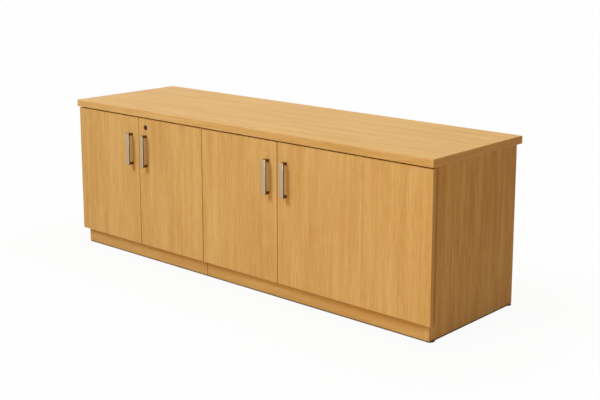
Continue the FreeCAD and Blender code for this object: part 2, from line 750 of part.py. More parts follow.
def lock_cam(door):
    """The cam on the end of the plug. Unlocked, it lies level and points into the door."""
    cam_plate = rounded_strap((0, 0), (LOCK_CAM_REACH, 0), LOCK_CAM_HALF_WIDTH, 0,
                              LOCK_CAM_THICKNESS)
    cam_plate.rotate(Vector(0, 0, 0), RIGHT, -90)
    cam_plate.translate(lock_place(door, DOOR_FACE_Y + cam_front_v()))
    return cam_plate


def strike_y():
    """Front of the strike's upright leg, between the back of the door and the cam."""
    return DOOR_FACE_Y + cam_front_v() - STRIKE_CAM_GAP - STRIKE_THICKNESS


def strike_screw_places(door):
    x = lock_place(door, 0).x
    y = strike_y() + STRIKE_DEPTH / 2
    level = TOP_UNDERSIDE - STRIKE_THICKNESS
    return [Vector(x + side * STRIKE_SCREW_SPREAD, y, level) for side in (-1, 1)]


def lock_strike(door):
    """An angle under the top whose upright leg holds the turned cam."""
    x = lock_place(door, 0).x
    width = (x - STRIKE_WIDTH / 2, x + STRIKE_WIDTH / 2)
    front = strike_y()
    leg = box(width, (front, front + STRIKE_THICKNESS),
              (TOP_UNDERSIDE - STRIKE_DROP, TOP_UNDERSIDE))
    flat = box(width, (front, front + STRIKE_DEPTH),
               (TOP_UNDERSIDE - STRIKE_THICKNESS, TOP_UNDERSIDE))
    strike = leg.fuse(flat).removeSplitter()
    return strike.cut([aimed(small_screw(SCREW_CLEARANCE), DOWN, place)
                       for place in strike_screw_places(door)])


def save_lock(door):
    save("lock_housing", [lock_housing(door)])
    save("lock_nut", [lock_nut(door)])
    save("lock_plug", [lock_plug(door)])
    save("lock_cam", [lock_cam(door)])
    save("lock_strike", [lock_strike(door)])
    screws = [aimed(small_screw(), DOWN, place) for place in strike_screw_places(door)]
    save("strike_screws", screws)


# Shelves


def shelf_edges():
    """Front and rear edges of the shelves."""
    return (CARCASS_FRONT_Y + SHELF_SETBACK, BACK_FRONT_Y - SHELF_BACK_CLEARANCE)


def pin_rows():
    front, rear = shelf_edges()
    return (front + PIN_LINE, rear - PIN_LINE)


def pin_walls():
    """Faces that carry shelf pins, with the way each one looks."""
    return (
        (-SIDE_INNER_X, RIGHT),
        (PARTITION_LEFT_X, LEFT),
        (PARTITION_RIGHT_X, RIGHT),
        (SIDE_INNER_X, LEFT),
    )


def pin_level():
    """Middle of the pins that carry the shelves."""
    return SHELF_HEIGHT - PIN_RADIUS * math.cos(math.pi / SCREW_SIDES)


def shelf_pins():
    pin = rod(PIN_RADIUS, SCREW_SIDES, (0, 0), -PIN_DEPTH, PIN_REACH)
    return [aimed(pin, face, Vector(x, y, pin_level()))
            for x, face in pin_walls() for y in pin_rows()]


def pin_holes():
    """Rows of holes in the uprights, above and below each pin at the system pitch."""
    hole = rod(PIN_RADIUS + PIN_HOLE_CLEARANCE, SCREW_SIDES, (0, 0), -PIN_HOLE_DEPTH, 0)
    holes = []
    for x, face in pin_walls():
        for y in pin_rows():
            for step in range(-PIN_HOLES_EACH_WAY, PIN_HOLES_EACH_WAY + 1):
                holes.append(aimed(hole, face, Vector(x, y, pin_level() + step * PIN_PITCH)))
    return holes


def shelf(left, right):
    """A loose shelf on its pins."""
    x = (left + SHELF_SIDE_CLEARANCE, right - SHELF_SIDE_CLEARANCE)
    return box(x, shelf_edges(), (SHELF_HEIGHT, SHELF_HEIGHT + BOARD))


# Boards of the carcass


def top_slab(cuts):
    half = TOP_LENGTH / 2
    slab = box((-half, half), (TOP_FRONT_Y, REAR_Y), (TOP_UNDERSIDE, HEIGHT))
    edges = border(slab, UP, HEIGHT) + border(slab, UP, TOP_UNDERSIDE)
    return slab.makeFillet(TOP_EDGE_RADIUS, edges).cut(cuts)


def back_groove(x):
    """Groove for a back panel, from the bottom panel's underside up to the top."""
    front = BACK_FRONT_Y - GROOVE_CLEARANCE
    rear = BACK_FRONT_Y + BACK_THICKNESS + GROOVE_CLEARANCE
    return box(x, (front, rear), (BOTTOM_LEVEL, TOP_UNDERSIDE))


def groove_depth():
    return BACK_GROOVE + GROOVE_CLEARANCE


def side_panel(side, cuts):
    outer = side * SIDE_OUTER_X
    inner = side * SIDE_INNER_X
    panel = box((min(outer, inner), max(outer, inner)), (CARCASS_FRONT_Y, REAR_Y),
                (GLIDE_HEIGHT, TOP_UNDERSIDE))
    depth = inner + side * groove_depth()
    panel = panel.cut(back_groove((min(inner, depth), max(inner, depth))))
    return panel.cut(cuts)


def centre_partition(cuts):
    """An upright whose foot is cut back behind the plinth boards."""
    outline = [
        (CARCASS_FRONT_Y, BOTTOM_LEVEL),
        (PLINTH_FRONT_Y + BOARD, BOTTOM_LEVEL),
        (PLINTH_FRONT_Y + BOARD, GLIDE_HEIGHT),
        (REAR_Y, GLIDE_HEIGHT),
        (REAR_Y, TOP_UNDERSIDE),
        (CARCASS_FRONT_Y, TOP_UNDERSIDE),
    ]
    panel = polygon([Vector(PARTITION_LEFT_X, y, z) for y, z in outline])
    panel = panel.extrude(Vector(BOARD, 0, 0))
    depth = groove_depth()
    panel = panel.cut(back_groove((PARTITION_LEFT_X, PARTITION_LEFT_X + depth)))
    panel = panel.cut(back_groove((PARTITION_RIGHT_X - depth, PARTITION_RIGHT_X)))
    return panel.cut(cuts)


def bottom_panel(left, right, cuts):
    board = box((left, right), (CARCASS_FRONT_Y, BACK_FRONT_Y),
                (BOTTOM_LEVEL, BOTTOM_LEVEL + BOARD))
    return board.cut(cuts)


def back_panel(left, right):
    return box((left - BACK_GROOVE, right + BACK_GROOVE),
               (BACK_FRONT_Y, BACK_FRONT_Y + BACK_THICKNESS), (BOTTOM_LEVEL, TOP_UNDERSIDE))


def plinth_board(left, right):
    return box((left, right), (PLINTH_FRONT_Y, PLINTH_FRONT_Y + BOARD),
               (GLIDE_HEIGHT, BOTTOM_LEVEL))


def rear_plinth_board(left, right):
    return box((left, right), (REAR_Y - BACK_INSET - BOARD, REAR_Y - BACK_INSET),
               (GLIDE_HEIGHT, BOTTOM_LEVEL))


def door_bumpers(doors):
    """Bumpers on the bottom panels' front edges, near each door's free edge."""
    level = BOTTOM_LEVEL + BOARD / 2
    bumper = rod(BUMPER_RADIUS, PIVOT_SIDES, (0, 0), 0, DOOR_STANDOFF)
    return [aimed(bumper, BACKWARD,
                  Vector(from_free_edge(door, BUMPER_FROM_EDGE), DOOR_BACK_Y, level))
            for door in doors]


def save_carcass(doors):
    cuts = cam_cuts() + glide_bores() + pin_holes() + wall_screw_cuts(doors)
    strike = [aimed(small_screw(SCREW_CLEARANCE), DOWN, place)
              for place in strike_screw_places(doors[1])]
    save("top_slab", [top_slab(cuts + strike)])
    save("left_side_panel", [side_panel(-1, cuts)])
    save("right_side_panel", [side_panel(1, cuts)])
    save("centre_partition", [centre_partition(cuts)])
    left = (-SIDE_INNER_X, PARTITION_LEFT_X)
    right = (PARTITION_RIGHT_X, SIDE_INNER_X)
    for name, bay in (("left", left), ("right", right)):
        save(name + "_bottom_panel", [bottom_panel(*bay, cuts)])
        save(name + "_back_panel", [back_panel(*bay)])
        save(name + "_shelf", [shelf(*bay)])
    joint = PLINTH_JOINT / 2
    save("left_plinth_board", [plinth_board(left[0], PARTITION_X - joint)])
    save("right_plinth_board", [plinth_board(PARTITION_X + joint, right[1])])
    save("rear_plinth_boards", [rear_plinth_board(*left), rear_plinth_board(*right)])


def save_fittings(doors):
    save("shelf_pins", shelf_pins())
    save("glides", [aimed(glide(), UP, place) for place in glide_places()])
    save("door_bumpers", door_bumpers(doors))
    save("cam_fittings", [cam(joint) for joint in cam_joints()])
    save("cam_bolts", [cam_bolt(joint) for joint in cam_joints()])


def main():
    os.makedirs("parts", exist_ok=True)
    doors = all_doors()
    save_carcass(doors)
    save_fittings(doors)
    save_hinge_mountings(doors)
    for door in doors:
        save_door(door)
    save_lock(doors[1])


main()
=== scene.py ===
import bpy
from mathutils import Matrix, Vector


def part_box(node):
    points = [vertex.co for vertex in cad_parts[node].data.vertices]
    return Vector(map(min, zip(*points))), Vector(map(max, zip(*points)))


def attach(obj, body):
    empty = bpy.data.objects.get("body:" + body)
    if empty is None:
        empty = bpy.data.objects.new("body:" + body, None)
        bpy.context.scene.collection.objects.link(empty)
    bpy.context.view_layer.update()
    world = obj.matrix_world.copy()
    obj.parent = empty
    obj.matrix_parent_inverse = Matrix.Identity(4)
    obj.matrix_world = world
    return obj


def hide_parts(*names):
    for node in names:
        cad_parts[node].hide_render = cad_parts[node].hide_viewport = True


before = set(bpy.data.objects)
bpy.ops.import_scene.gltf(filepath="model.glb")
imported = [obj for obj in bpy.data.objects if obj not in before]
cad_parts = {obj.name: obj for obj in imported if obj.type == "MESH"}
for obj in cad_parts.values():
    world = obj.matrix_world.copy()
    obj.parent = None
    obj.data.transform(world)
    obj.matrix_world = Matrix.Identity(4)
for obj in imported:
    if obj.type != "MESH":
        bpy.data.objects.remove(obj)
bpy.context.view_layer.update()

import math

import bpy
from mathutils import Vector

bl_info = {
    "name": "Office Credenza Looks",
    "version": (1, 0, 0),
    "blender": (4, 5, 0),
    "location": "View3D > Sidebar > Credenza",
    "description": "Dresses an office credenza in oak laminate, nickel and plastic",
    "category": "Object",
}

MM = 0.001
DOORS = ("door_1", "door_2", "door_3", "door_4")

# The camera, in metres, degrees and pixels of the frame
CAMERA_PLACE = (2.8152, -3.0144, 1.3229)
CAMERA_TURN = 41.841                  # to the left of straight ahead
CAMERA_DIP = 10.400                   # below the horizon
FRAME_PIXELS = 600                    # the width of the frame
FOCAL_PIXELS = 1100.74                # the focal length
SHIFT_PIXELS = -72                    # of the image's centre
SENSOR = 36.0                         # its width in millimetres

# Each lamp's place, the point that it looks at and the side of its square, in metres
KEY_LAMP = ((-2.2, -6.4, 7.2), (0, 0, 0.3), 3.6)
SIDE_LAMP = ((3.9, -6.4, 0.9), (0.9, -0.2, 0.3), 0.4)
OVERHEAD_LAMP = ((-0.2, 0.6, 7.0), (0, 0, 0.6), 3.0)

# The floor, and the ground that the boards stand over and keep dark, in metres
FLOOR_SIZE = 40.0
SHADOW_REACH = 0.6                    # from the boards to where the floor is at its whitest
GROUND_MARGIN = 1 * MM                # kept dark outside the boards
GROUND_LOW = Vector((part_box("left_side_panel")[0].x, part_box("left_plinth_board")[0].y, 0))
GROUND_HIGH = Vector((*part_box("right_side_panel")[1].xy, 0))

# The layers of the oak print: how many times as long as wide a mark is, and then the detail and
# the roughness of its noise
BANDS = (14, 2.0, 0.4)
STREAKS = (40, 5.0, 0.6)
PORES = (14, 3.0, 0.5)
NOISE_LOW = 0.3                       # nearly all of a noise lies between these two
NOISE_HIGH = 0.7
LAYER_LOW = -0.5                      # and is stretched to lie between these
LAYER_HIGH = 0.5
FACES_END = 0.8                       # how squarely an end's face looks along the grain

# Where the print of each board is cut, in widths of a mark: the place of the first one, the step
# to each next one, and the place of the slab top
GRAIN_START = (1.7, 0.0, 0.4)
GRAIN_STEP = (7.3, 3.1, 5.9)
TOP_GRAIN = (0.4, 2.3, 9.1)

# Surfaces: their gloss and fine relief
LAMINATE_IOR = 1.5
LAMINATE_GLOSS = 0.03                 # how far the streaks change the roughness
PORE_RELIEF = 0.05
PORE_DEPTH = 0.2 * MM
BRUSH_STRETCH = 60                    # how many times as long as wide a brush line is
BRUSH_GLOSS = 0.06                    # how far the brush lines change the roughness
SPECKLE_CONTRAST = 0.15
SPECKLE_RELIEF = 0.1
SPECKLE_DEPTH = 0.1 * MM

# A Mix node's inputs and output, whose names repeat: for vectors and for colours
VECTOR_A, VECTOR_B, VECTOR_MIXED = 4, 5, 1
COLOUR_A, COLOUR_B, COLOUR_MIXED = 6, 7, 2

# Handles
POST_HEIGHT = 9 * MM
FACES_FRONT = -0.5                    # a face's normal is below this where it looks forward
SMOOTH_ANGLE = math.radians(35)


# Small tools


def linear(hex_colour):
    """A colour written as sRGB hex, as the linear colour that a socket takes."""
    parts = [int(hex_colour[start:start + 2], 16) / 255 for start in (1, 3, 5)]
    curve = [part / 12.92 if part <= 0.04045 else ((part + 0.055) / 1.055) ** 2.4
             for part in parts]
    return (*curve, 1.0)


def shade(colour, factor):
    """A linear colour made darker or lighter by a factor."""
    return (*[min(1.0, part * factor) for part in colour[:3]], 1.0)


def add_node(tree, kind, links=(), settings=(), values=()):
    """Adds one node. Settings are its own fields; values and links go to its inputs, by name, or
    by number where a name repeats."""
    node = tree.nodes.new(kind)
    for field, value in dict(settings).items():
        setattr(node, field, value)
    for socket, value in dict(values).items():
        node.inputs[socket].default_value = value
    for socket, source in dict(links).items():
        tree.links.new(source, node.inputs[socket])
    return node


def new_material(name):
    """An empty node material, ready for a shader."""
    material = bpy.data.materials.new(name)
    material.use_nodes = True
    material.node_tree.nodes.clear()
    return material, material.node_tree


def close_material(tree, shader):
    """Sends a shader to the material's surface."""
    add_node(tree, "ShaderNodeOutputMaterial", links={"Surface": shader.outputs[0]})


def dress(node_name, material):
    """Gives a CAD node its finish."""
    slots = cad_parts[node_name].data.materials
    slots.clear()
    slots.append(material)


def deselect():
    """Leaves nothing selected, in object mode."""
    if bpy.context.object and bpy.context.object.mode != "OBJECT":
        bpy.ops.object.mode_set(mode="OBJECT")
    bpy.ops.object.select_all(action="DESELECT")


def settle(name, material):
    """Finishes the active piece: place in its mesh, smooth rounds, name and finish."""
    piece = bpy.context.object
    bpy.ops.object.transform_apply(location=True, rotation=True, scale=True)
    bpy.ops.object.shade_smooth_by_angle(angle=SMOOTH_ANGLE)
    piece.name = name
    piece.data.name = name
    piece.data.materials.clear()
    piece.data.materials.append(material)
    return piece


def add_block(low, high):
    """Adds a block between two corners and leaves it in edit mode, all selected."""
    deselect()
    middle = (low + high) / 2
    bpy.ops.mesh.primitive_cube_add(size=1, location=middle, scale=high - low)
    bpy.ops.object.transform_apply(location=True, rotation=True, scale=True)
    bpy.ops.object.mode_set(mode="EDIT")
    bpy.ops.mesh.select_all(action="SELECT")


# Finishes


def laminate(name, look, grain, shift, sheen, tone, contrast=1.0):
    """Melamine-faced board with a straight oak print. Its soft sheen lies over broad tone bands,
    long streaks and short pores that all run one way, and that cross the board's ends."""
    material, tree = new_material(name)
    place = add_node(tree, "ShaderNodeTexCoord").outputs["Object"]
    normal = add_node(tree, "ShaderNodeNewGeometry").outputs["Normal"]
    across = {"X": "Y", "Z": "X"}[grain]
    along = add_node(tree, "ShaderNodeSeparateXYZ", links={"Vector": normal}).outputs[grain]
    facing = add_node(tree, "ShaderNodeMath", links={0: along}, settings={"operation": "ABSOLUTE"})
    is_end = add_node(tree, "ShaderNodeMath", links={0: facing.outputs[0]},
                      settings={"operation": "GREATER_THAN"}, values={1: FACES_END})

    def layer(width, stretch, detail, roughness):
        """One layer of the print, of marks that are so wide, and so many times as long."""
        runs = []
        for run in (grain, across):
            scale = [1 / width] * 3
            scale["XYZ".index(run)] = 1 / (width * stretch)
            mapping = add_node(tree, "ShaderNodeMapping", links={"Vector": place},
                               values={"Location": shift, "Scale": scale})
            runs.append(mapping.outputs[0])
        mixed = add_node(tree, "ShaderNodeMix", settings={"data_type": "VECTOR"},
                         links={0: is_end.outputs[0], VECTOR_A: runs[0], VECTOR_B: runs[1]})
        noise = add_node(tree, "ShaderNodeTexNoise", links={"Vector": mixed.outputs[VECTOR_MIXED]},
                         values={"Scale": 1.0, "Detail": detail, "Roughness": roughness})
        spread = add_node(tree, "ShaderNodeMapRange", links={"Value": noise.outputs["Fac"]},
                          values={"From Min": NOISE_LOW, "From Max": NOISE_HIGH,
                                  "To Min": LAYER_LOW, "To Max": LAYER_HIGH})
        return spread.outputs[0]

    bands = layer(look.band_width, *BANDS)
    streaks = layer(look.streak_width, *STREAKS)
    pores = layer(look.pore_width, *PORES)
    # The tone sets how far the print leans to the darker colour; on the plinth it also paints shade
    print_tone = add_node(tree, "ShaderNodeMath", links={0: bands},
                          settings={"operation": "MULTIPLY_ADD"},
                          values={1: look.band_strength * contrast, 2: tone})
    for source, strength in ((streaks, look.streak_strength), (pores, look.pore_strength)):
        print_tone = add_node(tree, "ShaderNodeMath", links={0: source, 2: print_tone.outputs[0]},
                              settings={"operation": "MULTIPLY_ADD"},
                              values={1: strength * contrast})
    colour = add_node(tree, "ShaderNodeMix", links={0: print_tone.outputs[0]},
                      settings={"data_type": "RGBA"},
                      values={COLOUR_A: look.oak_light, COLOUR_B: look.oak_dark})
    relief = add_node(tree, "ShaderNodeBump", links={"Height": pores},
                      values={"Strength": PORE_RELIEF, "Distance": PORE_DEPTH})
    gloss = add_node(tree, "ShaderNodeMapRange", links={"Value": streaks},
                     values={"From Min": LAYER_LOW, "From Max": LAYER_HIGH,
                             "To Min": look.laminate_roughness - LAMINATE_GLOSS,
                             "To Max": look.laminate_roughness + LAMINATE_GLOSS})
    shader = add_node(tree, "ShaderNodeBsdfPrincipled",
                      links={"Base Color": colour.outputs[COLOUR_MIXED],
                             "Roughness": gloss.outputs[0], "Normal": relief.outputs[0]},
                      values={"IOR": LAMINATE_IOR, "Specular IOR Level": sheen})
    close_material(tree, shader)
    return material


def brushed_metal(name, colour, roughness, line_width, contrast):
    """Plated metal with upright brush lines that break its gloss. The lines are drawn wider than
    real ones, so that they show."""
    material, tree = new_material(name)
    place = add_node(tree, "ShaderNodeTexCoord").outputs["Object"]
    scale = (1 / line_width, 1 / line_width, 1 / (line_width * BRUSH_STRETCH))
    mapping = add_node(tree, "ShaderNodeMapping", links={"Vector": place},
                       values={"Scale": scale})
    lines = add_node(tree, "ShaderNodeTexNoise", links={"Vector": mapping.outputs[0]},
                     values={"Scale": 1.0, "Detail": 2.0, "Roughness": 0.6})
    tint = add_node(tree, "ShaderNodeMix", links={0: lines.outputs["Fac"]},
                    settings={"data_type": "RGBA"},
                    values={COLOUR_A: shade(colour, 1 - contrast),
                            COLOUR_B: shade(colour, 1 + contrast)})
    gloss = add_node(tree, "ShaderNodeMapRange", links={"Value": lines.outputs["Fac"]},
                     values={"To Min": roughness - BRUSH_GLOSS,
                             "To Max": roughness + BRUSH_GLOSS})
    shader = add_node(tree, "ShaderNodeBsdfPrincipled",
                      links={"Base Color": tint.outputs[COLOUR_MIXED],
                             "Roughness": gloss.outputs[0]},
                      values={"Metallic": 1.0})
    close_material(tree, shader)
    return material


def moulded(name, colour, roughness, speckle_width):
    """Moulded plastic or cast metal with a fine even texture, drawn coarser than the real one, so
    that it shows."""
    material, tree = new_material(name)
    place = add_node(tree, "ShaderNodeTexCoord").outputs["Object"]
    speckle = add_node(tree, "ShaderNodeTexNoise", links={"Vector": place},
                       values={"Scale": 1 / speckle_width, "Detail": 2.0})
    tint = add_node(tree, "ShaderNodeMix", links={0: speckle.outputs["Fac"]},
                    settings={"data_type": "RGBA"},
                    values={COLOUR_A: shade(colour, 1 - SPECKLE_CONTRAST),
                            COLOUR_B: shade(colour, 1 + SPECKLE_CONTRAST)})
    relief = add_node(tree, "ShaderNodeBump", links={"Height": speckle.outputs["Fac"]},
                      values={"Strength": SPECKLE_RELIEF, "Distance": SPECKLE_DEPTH})
    shader = add_node(tree, "ShaderNodeBsdfPrincipled",
                      links={"Base Color": tint.outputs[COLOUR_MIXED],
                             "Normal": relief.outputs[0]},
                      values={"Roughness": roughness})
    close_material(tree, shader)
    return material


# Settings that a user would change


class CredenzaLook(bpy.types.PropertyGroup):
    """Colours, grain and edges of the credenza"""
    oak_light: bpy.props.FloatVectorProperty(
        name="Oak light", description="Pale tone of the laminate", size=4, subtype="COLOR",
        default=linear("#D2A764"), min=0, max=1)
    oak_dark: bpy.props.FloatVectorProperty(
        name="Oak dark", description="Darker tone of the laminate", size=4, subtype="COLOR",
        default=linear("#C08F4C"), min=0, max=1)
    band_width: bpy.props.FloatProperty(
        name="Band width", description="Width of the broad tone bands", default=34 * MM,
        min=5 * MM, unit="LENGTH")
    streak_width: bpy.props.FloatProperty(
        name="Streak width", description="Width of the long streaks", default=10 * MM,
        min=1 * MM, unit="LENGTH")
    pore_width: bpy.props.FloatProperty(
        name="Pore width", description="Width of the short pores, drawn coarse enough to show",
        default=4.5 * MM, min=0.5 * MM, unit="LENGTH")
    band_strength: bpy.props.FloatProperty(
        name="Band strength", description="Contrast of the broad bands", default=0.6, min=0)
    streak_strength: bpy.props.FloatProperty(
        name="Streak strength", description="Contrast of the streaks", default=0.5, min=0)
    pore_strength: bpy.props.FloatProperty(
        name="Pore strength", description="Contrast of the pores", default=0.6, min=0)
    end_contrast: bpy.props.FloatProperty(
        name="End contrast", description="How much stronger the grain is on the two end panels",
        default=1.6, min=0)
    board_tone: bpy.props.FloatProperty(
        name="Board tone", description="How far the boards lean to the darker tone",
        default=0.5, min=0, max=1, subtype="FACTOR")
    # The plinth leans further to the darker tone than the boards: painted shade under the doors'
    # overhang
    plinth_shade_tone: bpy.props.FloatProperty(
        name="Plinth shade", description="How far the plinth leans to the darker tone",
        default=0.85, min=0, max=1, subtype="FACTOR")
    laminate_roughness: bpy.props.FloatProperty(
        name="Laminate roughness", description="Roughness of the laminate",
        default=0.43, min=0, max=1, subtype="FACTOR")
    board_sheen: bpy.props.FloatProperty(
        name="Board sheen", description="Strength of the sheen on the boards",
        default=0.1, min=0, max=1, subtype="FACTOR")
    top_sheen: bpy.props.FloatProperty(
        name="Top sheen", description="Strength of the sheen on the slab top",
        default=0.16, min=0, max=1, subtype="FACTOR")
    bar_rounding: bpy.props.FloatProperty(
        name="Bar rounding", description="Radius of the edges of a handle's bar",
        default=1.4 * MM, min=0.1 * MM, unit="LENGTH")
    post_rounding: bpy.props.FloatProperty(
        name="Post rounding", description="Radius of the edges of a handle's posts",
        default=0.6 * MM, min=0.1 * MM, unit="LENGTH")
    nickel: bpy.props.FloatVectorProperty(
        name="Nickel", description="Brushed face of the handles", size=4, subtype="COLOR",
        default=linear("#BCA485"), min=0, max=1)
    # A darker copy of the handles' nickel: painted shade on the flanks of the bars and on the posts
    shade_nickel: bpy.props.FloatVectorProperty(
        name="Shade nickel", description="Flanks and posts of the handles", size=4, subtype="COLOR",
        default=linear("#75522A"), min=0, max=1)
    steel: bpy.props.FloatVectorProperty(
        name="Steel", description="Nickel plate on the hinges", size=4, subtype="COLOR",
        default=linear("#B9B7B2"), min=0, max=1)
    zinc: bpy.props.FloatVectorProperty(
        name="Zinc", description="Zinc plate on the screws, bolts and pins", size=4,
        subtype="COLOR", default=linear("#A9ABB0"), min=0, max=1)
    casting: bpy.props.FloatVectorProperty(
        name="Casting", description="Bare zinc of the cam fittings", size=4, subtype="COLOR",
        default=linear("#8C8C8E"), min=0, max=1)
    bezel: bpy.props.FloatVectorProperty(
        name="Lock bezel", description="Ring round the lock", size=4, subtype="COLOR",
        default=linear("#4B2F14"), min=0, max=1)
    plug: bpy.props.FloatVectorProperty(
        name="Lock plug", description="Plug of the lock", size=4, subtype="COLOR",
        default=linear("#1E0D02"), min=0, max=1)
    plastic: bpy.props.FloatVectorProperty(
        name="Plastic", description="Nylon of the glides", size=4, subtype="COLOR",
        default=linear("#2B2622"), min=0, max=1)
    bumper: bpy.props.FloatVectorProperty(
        name="Bumper", description="Soft dots behind the doors", size=4, subtype="COLOR",
        default=linear("#D8D4C8"), min=0, max=1)


class CredenzaStage(bpy.types.PropertyGroup):
    """Lamps, fill and floor of the studio"""
    key_power: bpy.props.FloatProperty(
        name="Key", description="Power of the key lamp", default=852.0, min=0, unit="POWER")
    key_colour: bpy.props.FloatVectorProperty(
        name="Key colour", description="Cool light from the left", size=4, subtype="COLOR",
        default=linear("#CFE2FF"), min=0, max=1)
    side_power: bpy.props.FloatProperty(
        name="Side", description="Power of the lamp on the right", default=206.0, min=0,
        unit="POWER")
    side_colour: bpy.props.FloatVectorProperty(
        name="Side colour", description="Warm light on the end", size=4, subtype="COLOR",
        default=linear("#FFEDD6"), min=0, max=1)
    overhead_power: bpy.props.FloatProperty(
        name="Overhead", description="Power of the lamp above", default=228.0, min=0,
        unit="POWER")
    overhead_colour: bpy.props.FloatVectorProperty(
        name="Overhead colour", description="Warm light from above", size=4, subtype="COLOR",
        default=linear("#FFF694"), min=0, max=1)
    fill: bpy.props.FloatProperty(
        name="Fill", description="Strength of the even light from all round", default=0.195,
        min=0)
    fill_colour: bpy.props.FloatVectorProperty(
        name="Fill colour", description="Warm light from the room", size=4, subtype="COLOR",
        default=linear("#FFD2A9"), min=0, max=1)
    floor_colour: bpy.props.FloatVectorProperty(
        name="Floor colour", description="The floor under its white look, which the boards reflect",
        size=4, subtype="COLOR", default=linear("#B8AA92"), min=0, max=1)
    floor_near: bpy.props.FloatProperty(
        name="Floor near", description="How far the floor round the boards is lifted to white",
        default=0.95, min=0, max=1, subtype="FACTOR")
    floor_far: bpy.props.FloatProperty(
        name="Floor far", description="How far the rest of the floor is lifted to white",
        default=0.99, min=0, max=1, subtype="FACTOR")


# Boards


class CREDENZA_OT_boards(bpy.types.Operator):
    """Lay oak laminate on every board and door"""
    bl_idname = "credenza.boards"
    bl_label = "Boards and Doors"

    def execute(self, context):
        look = context.scene.credenza_look
        ends = ("left_side_panel", "right_side_panel")
        uprights = [door + "_panel" for door in DOORS]
        uprights += ["centre_partition", "left_back_panel", "right_back_panel", *ends]
        lying = ["left_bottom_panel", "right_bottom_panel", "left_shelf", "right_shelf"]
        lying += ["left_plinth_board", "right_plinth_board", "rear_plinth_boards"]
        boards = [(name, "Z") for name in uprights] + [(name, "X") for name in lying]
        for index, (name, grain) in enumerate(boards):
            shift = [start + step * index for start, step in zip(GRAIN_START, GRAIN_STEP)]
            contrast = look.end_contrast if name in ends else 1.0
            # On the plinth the darker tone is painted shade from the doors above
            tone = look.plinth_shade_tone if "plinth" in name else look.board_tone
            dress(name, laminate("oak_laminate_" + name, look, grain, shift, look.board_sheen,
                                 tone, contrast))
        dress("top_slab", laminate("oak_laminate_top", look, "X", TOP_GRAIN, look.top_sheen,
                                   look.board_tone))
        return {"FINISHED"}


# Handles


def shape_bar(name, low, high, rounding, nickel, shade_nickel):
    """A flat bar with soft edges: brushed on its face, with painted shade on its flanks."""
    add_block(low, high)
    bpy.ops.mesh.bevel(offset=rounding, segments=3, affect="EDGES")
    bpy.ops.object.mode_set(mode="OBJECT")
    bar = settle(name, nickel)
    bar.data.materials.append(shade_nickel)
    # Faces that do not look forward take the darker nickel, which paints the shade on the bar's
    # flanks
    for face in bar.data.polygons:
        face.material_index = 0 if face.normal.y < FACES_FRONT else 1
    return bar


def shape_posts(name, low, high, rounding, shade_nickel):
    """Two square posts with soft edges, between the bar and the door, in the darker nickel that
    paints their shade.
    """
    parts = []
    for bottom in (low.z, high.z - POST_HEIGHT):
        add_block(Vector((low.x, low.y, bottom)), Vector((high.x, high.y, bottom + POST_HEIGHT)))
        bpy.ops.mesh.bevel(offset=rounding, segments=2, affect="EDGES")
        bpy.ops.object.mode_set(mode="OBJECT")
        parts.append(bpy.context.object)
    deselect()
    for part in parts:
        part.select_set(True)
    bpy.context.view_layer.objects.active = parts[0]
    bpy.ops.object.join()
    return settle(name, shade_nickel)


def copy_to_door(piece, ending, door):
    """Copies a piece of the first door's handle to another door, with its own mesh."""
    deselect()
    piece.select_set(True)
    bpy.context.view_layer.objects.active = piece
    bpy.ops.object.duplicate()
    copy = bpy.context.object
    first_low, door_low = [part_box(name + "_handle" + ending)[0] for name in (DOORS[0], door)]
    copy.location = door_low - first_low
    bpy.ops.object.transform_apply(location=True, rotation=True, scale=True)
    copy.name = door + ending
    copy.data.name = copy.name
    return copy


class CREDENZA_OT_handles(bpy.types.Operator):
    """Model a bar handle and copy it to every door"""
    bl_idname = "credenza.handles"
    bl_label = "Handles"

    def execute(self, context):
        look = context.scene.credenza_look
        # Nickel brushed along the bar: a pale warm face without sharp reflections
        nickel = brushed_metal("brushed_nickel", look.nickel, roughness=0.42,
                               line_width=0.6 * MM, contrast=0.1)
        # The same plate darkened as painted shade: dark brown flanks and posts that set off the
        # face
        shade_nickel = brushed_metal("painted_shade_nickel", look.shade_nickel, roughness=0.5,
                               line_width=0.6 * MM, contrast=0.1)
        first = DOORS[0]
        bar = shape_bar(first + "_bar", *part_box(first + "_handle_bar"), look.bar_rounding,
                        nickel, shade_nickel)
        posts = shape_posts(first + "_posts", *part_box(first + "_handle_posts"),
                            look.post_rounding, shade_nickel)
        handles = {first: (bar, posts)}
        for door in DOORS[1:]:
            handles[door] = (copy_to_door(bar, "_bar", door), copy_to_door(posts, "_posts", door))
        for door, (bar, posts) in handles.items():
            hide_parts(door + "_handle_bar")
            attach(bar, door)
            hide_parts(door + "_handle_posts")
            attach(posts, door)
        return {"FINISHED"}


# Fittings


